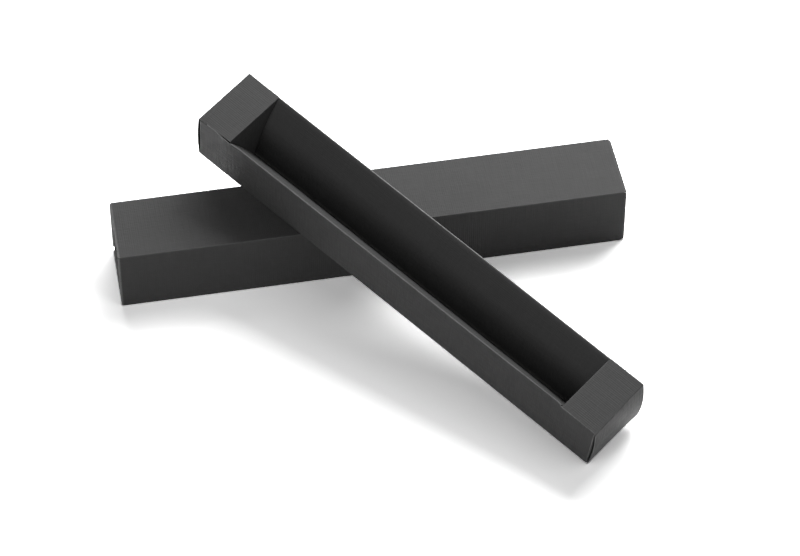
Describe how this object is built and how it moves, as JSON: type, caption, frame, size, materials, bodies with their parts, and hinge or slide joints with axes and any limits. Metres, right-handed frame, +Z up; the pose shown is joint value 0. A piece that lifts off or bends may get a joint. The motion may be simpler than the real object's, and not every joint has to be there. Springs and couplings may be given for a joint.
{
  "type": "sliding drawer gift box",
  "caption": "Slim gift box of folded linen-embossed board: an open-ended sleeve, and its drawer with end ledges and sloping linings, taken out and leaning across it.",
  "frame": {"origin": "centre of the sleeve's underside, on the surface that it lies on", "axes": "+X along the sleeve, to the right in the picture; +Y from the sleeve's front to its back; +Z up"},
  "size_m": [0.24, 0.2105, 0.0788],
  "materials": {
    "sleeve_board": "matte black, linen embossed",
    "drawer_board": "matte black, linen embossed"
  },
  "bodies": {
    "sleeve_base": {"sleeve_bottom_panel": "sleeve_board", "sleeve_glue_flap": "sleeve_board", "sleeve_left_bottom_hem": "sleeve_board", "sleeve_right_bottom_hem": "sleeve_board"},
    "sleeve_front": {"sleeve_front_panel": "sleeve_board", "sleeve_left_front_hem": "sleeve_board", "sleeve_right_front_hem": "sleeve_board"},
    "sleeve_top": {"sleeve_top_panel": "sleeve_board", "sleeve_left_top_hem": "sleeve_board", "sleeve_right_top_hem": "sleeve_board"},
    "sleeve_back": {"sleeve_back_panel": "sleeve_board", "sleeve_left_back_hem": "sleeve_board", "sleeve_right_back_hem": "sleeve_board"},
    "drawer": {"drawer_floor": "drawer_board", "drawer_front_wall": "drawer_board", "drawer_back_wall": "drawer_board", "drawer_front_lining": "drawer_board", "drawer_back_lining": "drawer_board", "drawer_left_end_panel": "drawer_board", "drawer_left_front_tab": "drawer_board", "drawer_left_back_tab": "drawer_board", "drawer_right_end_panel": "drawer_board", "drawer_right_front_tab": "drawer_board", "drawer_right_back_tab": "drawer_board"},
    "left_ledge": {"drawer_left_ledge": "drawer_board"},
    "left_flap": {"drawer_left_inner_flap": "drawer_board"},
    "right_ledge": {"drawer_right_ledge": "drawer_board"},
    "right_flap": {"drawer_right_inner_flap": "drawer_board"}
  },
  "joints": [
    {"name": "drawer_lift", "type": "slide", "parent": "sleeve_base", "child": "drawer", "axis": [0, 0, 1], "range_m": [0, 0.06]},
    {"name": "left_ledge_hinge", "type": "hinge", "parent": "drawer", "child": "left_ledge", "pos_m": [-0.06164, 0.03443, 0.07644], "axis": [-0.7859, -0.6009, -0.1463], "range_deg": [0, 80]},
    {"name": "left_flap_crease", "type": "hinge", "parent": "left_ledge", "child": "left_flap", "pos_m": [-0.05001, 0.02017, 0.07256], "axis": [-0.7859, -0.6009, -0.1463], "range_deg": [-80, 0]},
    {"name": "right_ledge_hinge", "type": "hinge", "parent": "drawer", "child": "right_ledge", "pos_m": [0.08654, -0.14852, 0.0319], "axis": [0.7859, 0.6009, 0.1463], "range_deg": [0, 80]},
    {"name": "right_flap_crease", "type": "hinge", "parent": "right_ledge", "child": "right_flap", "pos_m": [0.07491, -0.13406, 0.035], "axis": [0.7859, 0.6009, 0.1463], "range_deg": [-80, 0]},
    {"name": "sleeve_fold", "type": "hinge", "parent": "sleeve_base", "child": "sleeve_front", "pos_m": [0, -0.0178, 0.0004], "axis": [-1, 0, 0], "range_deg": [0, 60]},
    {"name": "sleeve_back_crease", "type": "hinge", "parent": "sleeve_base", "child": "sleeve_back", "pos_m": [0, 0.0182, 0], "axis": [-1, 0, 0], "range_deg": [0, 60]},
    {"name": "sleeve_top_crease", "type": "hinge", "parent": "sleeve_front", "child": "sleeve_top", "pos_m": [0, -0.0182, 0.0325], "axis": [-1, 0, 0], "range_deg": [-60, 0]}
  ],
  "couplings": [
    {"joint": "left_flap_crease", "follows": "left_ledge_hinge", "ratio": -1},
    {"joint": "right_flap_crease", "follows": "right_ledge_hinge", "ratio": -1},
    {"joint": "sleeve_back_crease", "follows": "sleeve_fold", "ratio": 1},
    {"joint": "sleeve_top_crease", "follows": "sleeve_fold", "ratio": -1}
  ]
}
